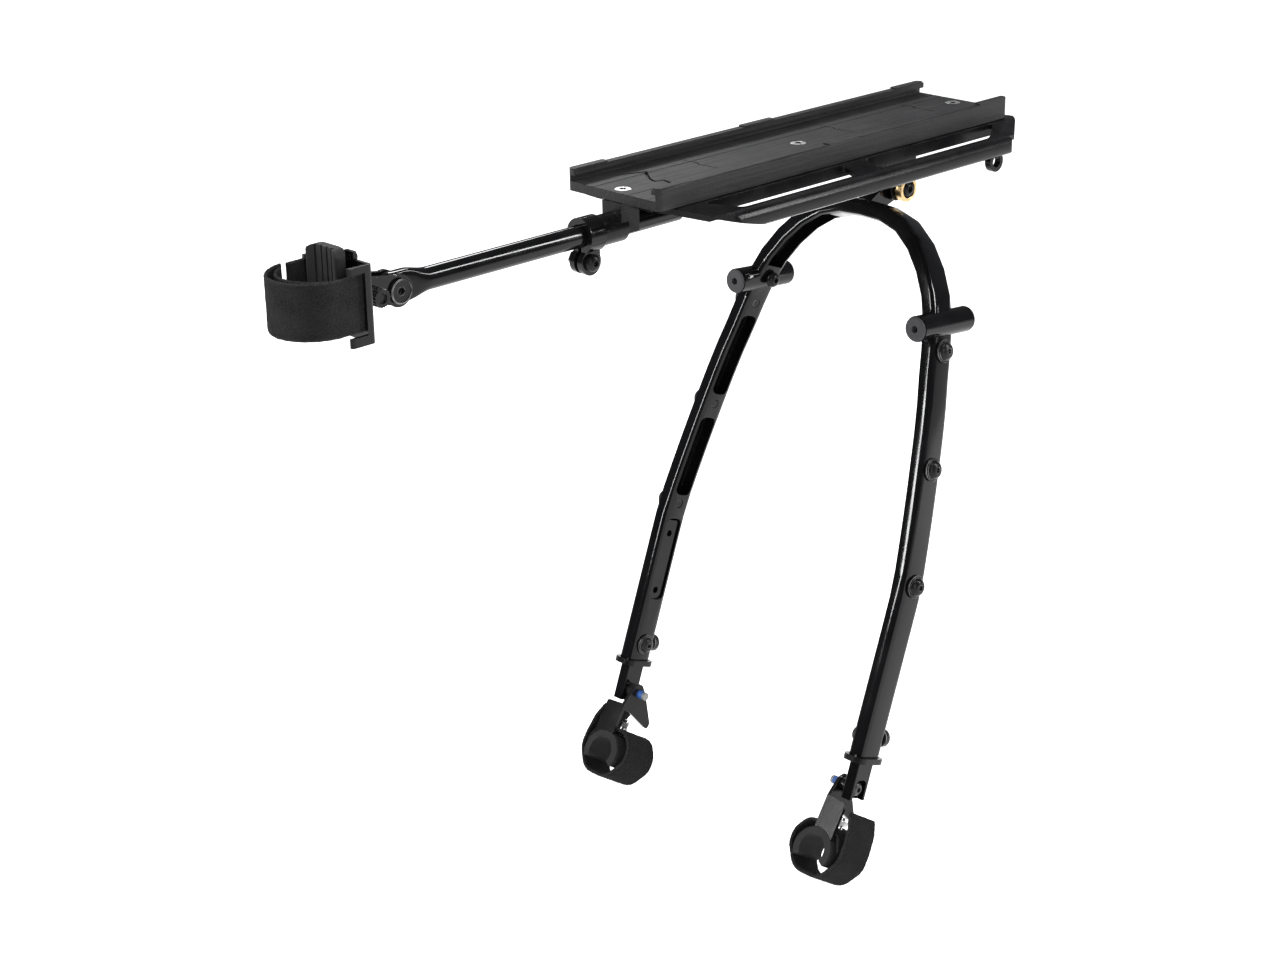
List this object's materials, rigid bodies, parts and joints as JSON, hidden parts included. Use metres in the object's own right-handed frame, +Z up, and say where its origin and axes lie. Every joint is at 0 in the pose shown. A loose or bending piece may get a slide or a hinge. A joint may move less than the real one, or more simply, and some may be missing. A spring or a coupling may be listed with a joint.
{
  "type": "rear bicycle rack",
  "caption": "Rear bicycle rack with a rail deck, sloping side wings, a hooped leg with strap feet and a sliding boom to a seat post clamp.",
  "frame": {"origin": "middle of the seat post strap's loop", "axes": "+X forward along the bicycle, from the deck toward the seat post; +Y to the bicycle's left; +Z up, along the strap loop's axis"},
  "size_m": [0.5181, 0.2158, 0.4245],
  "materials": {
    "deck_plastic": "fine moulded grain",
    "black_plastic": "moulded, slight sheen",
    "satin_black": "satin powder coat",
    "gloss_black": "gloss black",
    "black_steel": "black oxide",
    "zinc": "bright zinc",
    "bronze": "machined",
    "grey_plug": "matte",
    "rubber": "matte",
    "strap_fabric": "hook and loop webbing"
  },
  "bodies": {
    "post_clamp": {"link_fork": "gloss_black", "eye_bolt": "black_steel", "pad_bracket": "black_plastic", "tab_screw": "black_steel", "post_pad": "rubber", "post_strap": "strap_fabric"},
    "thumb": {"thumb_screw": "black_steel"},
    "boom": {"boom_tube": "gloss_black"},
    "platform": {"deck_plate": "deck_plastic", "deck_screw_front": "zinc", "deck_screw_middle": "zinc", "deck_screw_rear": "zinc", "spine": "satin_black", "wing_left": "satin_black", "wing_right": "satin_black", "boom_socket": "black_plastic", "clamp_collar": "gloss_black", "clamp_screw": "black_steel", "clamp_nut": "black_steel", "leg_fork": "gloss_black", "pivot_ring_left": "bronze", "pivot_ring_right": "bronze", "pivot_bolt": "black_steel", "pivot_nut": "black_steel"},
    "arch": {"arch_frame": "gloss_black", "peg_plug_front_left": "grey_plug", "peg_plug_front_right": "grey_plug", "peg_plug_rear_left": "grey_plug", "peg_plug_rear_right": "grey_plug", "side_screw_upper_left": "black_steel", "side_screw_upper_right": "black_steel", "side_screw_middle_left": "black_steel", "side_screw_middle_right": "black_steel", "side_screw_lower_left": "black_steel", "side_screw_lower_right": "black_steel", "leg_clamp_screw_left": "black_steel", "leg_clamp_screw_right": "black_steel", "leg_clamp_knob_left": "black_steel", "leg_clamp_knob_right": "black_steel", "tube_collar_left": "black_plastic", "tube_collar_right": "black_plastic", "peg_screw_left": "black_steel", "peg_screw_right": "black_steel"},
    "leg_left": {"slider_left": "satin_black", "foot_pivot_screw_left": "black_steel"},
    "leg_right": {"slider_right": "satin_black", "foot_pivot_screw_right": "black_steel"},
    "foot_left": {"foot_bracket_left": "satin_black", "foot_screw_left": "zinc", "cradle_pad_left": "rubber", "foot_strap_left": "strap_fabric"},
    "foot_right": {"foot_bracket_right": "satin_black", "foot_screw_right": "zinc", "cradle_pad_right": "rubber", "foot_strap_right": "strap_fabric"}
  },
  "joints": [
    {"name": "thumb_screw_turn", "type": "hinge", "parent": "post_clamp", "child": "thumb", "pos_m": [-0.0304, 0, -0.0056], "axis": [0, 1, 0], "continuous": true},
    {"name": "boom_pitch", "type": "hinge", "parent": "post_clamp", "child": "boom", "pos_m": [-0.0475, 0, -0.0072], "axis": [0, 1, 0], "range_deg": [-30, 30]},
    {"name": "boom_slide", "type": "slide", "parent": "boom", "child": "platform", "axis": [1, 0, 0], "range_m": [-0.02, 0.07]},
    {"name": "arch_swing", "type": "hinge", "parent": "platform", "child": "arch", "pos_m": [-0.4255, 0, -0.0283], "axis": [0, 1, 0], "range_deg": [-25, 35]},
    {"name": "leg_slide_left", "type": "slide", "parent": "arch", "child": "leg_left", "axis": [0.3535, 0, -0.9354], "range_m": [0, 0.06]},
    {"name": "leg_slide_right", "type": "slide", "parent": "arch", "child": "leg_right", "axis": [0.3535, 0, -0.9354], "range_m": [0, 0.06]},
    {"name": "foot_tilt_left", "type": "hinge", "parent": "leg_left", "child": "foot_left", "pos_m": [-0.29128, 0.095, -0.34332], "axis": [0, 1, 0], "range_deg": [-35, 45]},
    {"name": "foot_tilt_right", "type": "hinge", "parent": "leg_right", "child": "foot_right", "pos_m": [-0.29128, -0.095, -0.34332], "axis": [0, 1, 0], "range_deg": [-35, 45]}
  ]
}
